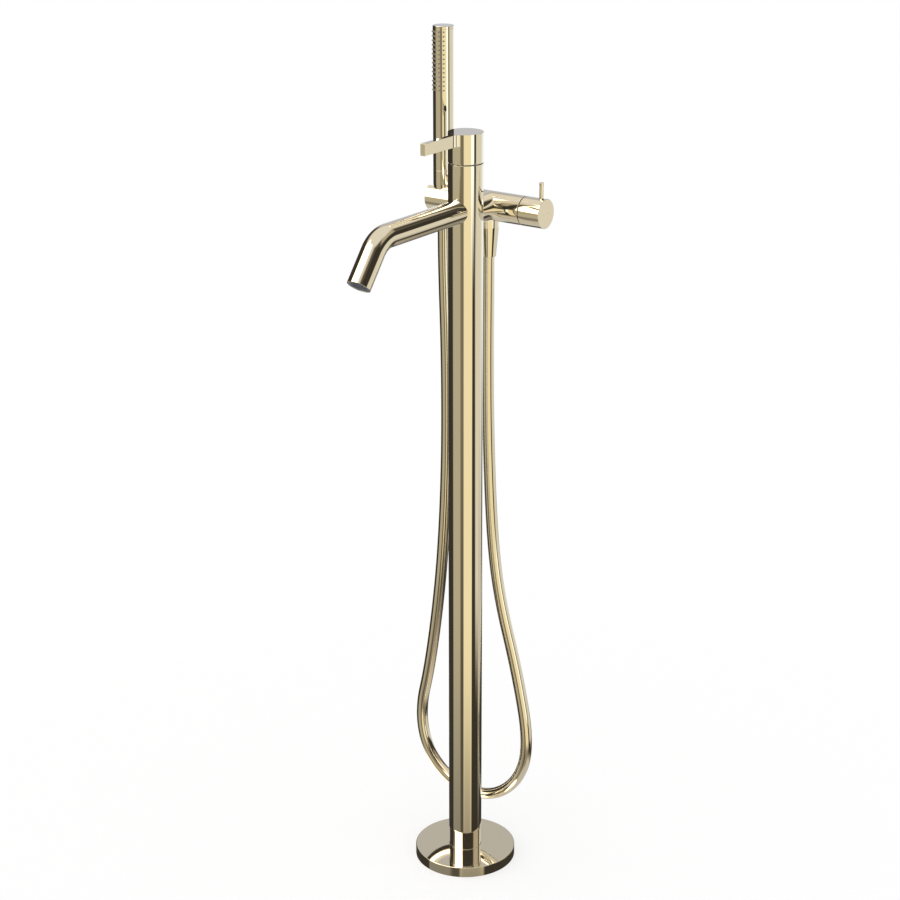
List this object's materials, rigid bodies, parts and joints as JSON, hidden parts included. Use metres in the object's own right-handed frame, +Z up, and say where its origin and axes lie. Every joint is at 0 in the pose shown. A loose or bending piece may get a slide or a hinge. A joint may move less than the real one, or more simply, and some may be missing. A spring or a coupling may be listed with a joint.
{
  "type": "floor standing bath filler",
  "caption": "Slim floor column with a bent spout, a lever on its top, and a rear cross bar with a turning diverter knob and a stick hand shower on a looped hose.",
  "frame": {"origin": "on the finished floor at the axis of the column, the centre of the base plate's bolt circle", "axes": "+Z up along the column; the spout and the lever point to -Y; the diverter knob is at +X and the hand shower at -X, on the cross bar behind the column (+Y)"},
  "size_m": [0.1821, 0.2715, 1.0108],
  "materials": {
    "polished_gold": "mirror polished pale gold plating on brass",
    "raw_brass": "machined brass",
    "plain_steel": "plain stainless steel",
    "copper": "drawn copper pipe",
    "black_rubber": "moulded seal rubber",
    "grey_silicone": "matt grey silicone",
    "white_plastic": "moulded plastic",
    "dark_plastic": "dark moulded plastic",
    "gold_hose": "smooth glossy gold hose jacket"
  },
  "bodies": {
    "stand": {"floor_flange": "polished_gold", "flange_o_ring": "black_rubber", "base_plate": "plain_steel", "neck_tube": "polished_gold", "column_tube": "polished_gold", "column_grub_screws": "plain_steel", "pipe_guide": "white_plastic", "cold_supply_tail": "copper", "hot_supply_tail": "copper", "cold_tail_nut": "raw_brass", "hot_tail_nut": "raw_brass", "valve_body": "raw_brass", "cartridge_seal": "black_rubber", "mixer_cartridge": "white_plastic", "cartridge_nut": "raw_brass", "top_collar": "raw_brass", "glide_ring": "dark_plastic", "spout_tube": "polished_gold", "spout_nipple": "raw_brass", "spout_grub_screw": "plain_steel", "aerator_seal": "black_rubber", "aerator_housing": "dark_plastic", "aerator_mesh": "dark_plastic", "rear_crossbar": "polished_gold", "crossbar_gasket": "black_rubber", "outlet_nipple": "raw_brass", "diverter_cartridge": "raw_brass", "diverter_nut": "raw_brass", "handset_holder": "polished_gold", "holder_stud": "plain_steel", "hose_nut_outlet": "polished_gold", "hose_washer_outlet": "black_rubber", "hose_ferrule_outlet": "raw_brass", "shower_hose": "gold_hose"},
    "mixer_lever": {"mixer_handle": "polished_gold", "mixer_spindle": "raw_brass", "handle_grub_screw": "plain_steel"},
    "diverter": {"diverter_knob": "polished_gold", "diverter_pin": "polished_gold", "diverter_spindle": "raw_brass"},
    "hose_end": {"hose_ferrule_handset": "raw_brass"},
    "handset": {"hose_nut_handset": "polished_gold", "hose_washer_handset": "black_rubber", "handset_inlet": "raw_brass", "check_valve": "white_plastic", "handset_inner_tube": "white_plastic", "spray_insert": "grey_silicone", "handset_shell": "polished_gold", "handset_end_cap": "polished_gold"}
  },
  "joints": [
    {"name": "mixer_turn", "type": "hinge", "parent": "stand", "child": "mixer_lever", "pos_m": [0, 0, 0.8728], "axis": [0, 0, 1], "range_deg": [0, 100]},
    {"name": "diverter_turn", "type": "hinge", "parent": "stand", "child": "diverter", "pos_m": [0.0481, 0.0485, 0.8143], "axis": [1, 0, 0], "range_deg": [0, 90]},
    {"name": "handset_lift", "type": "slide", "parent": "stand", "child": "hose_end", "axis": [0, 0, 1], "range_m": [0, 0.12], "deforming": ["shower_hose"]},
    {"name": "handset_turn", "type": "hinge", "parent": "hose_end", "child": "handset", "pos_m": [-0.0646, 0.0485, 0.8478], "axis": [0, 0, 1], "continuous": true}
  ]
}
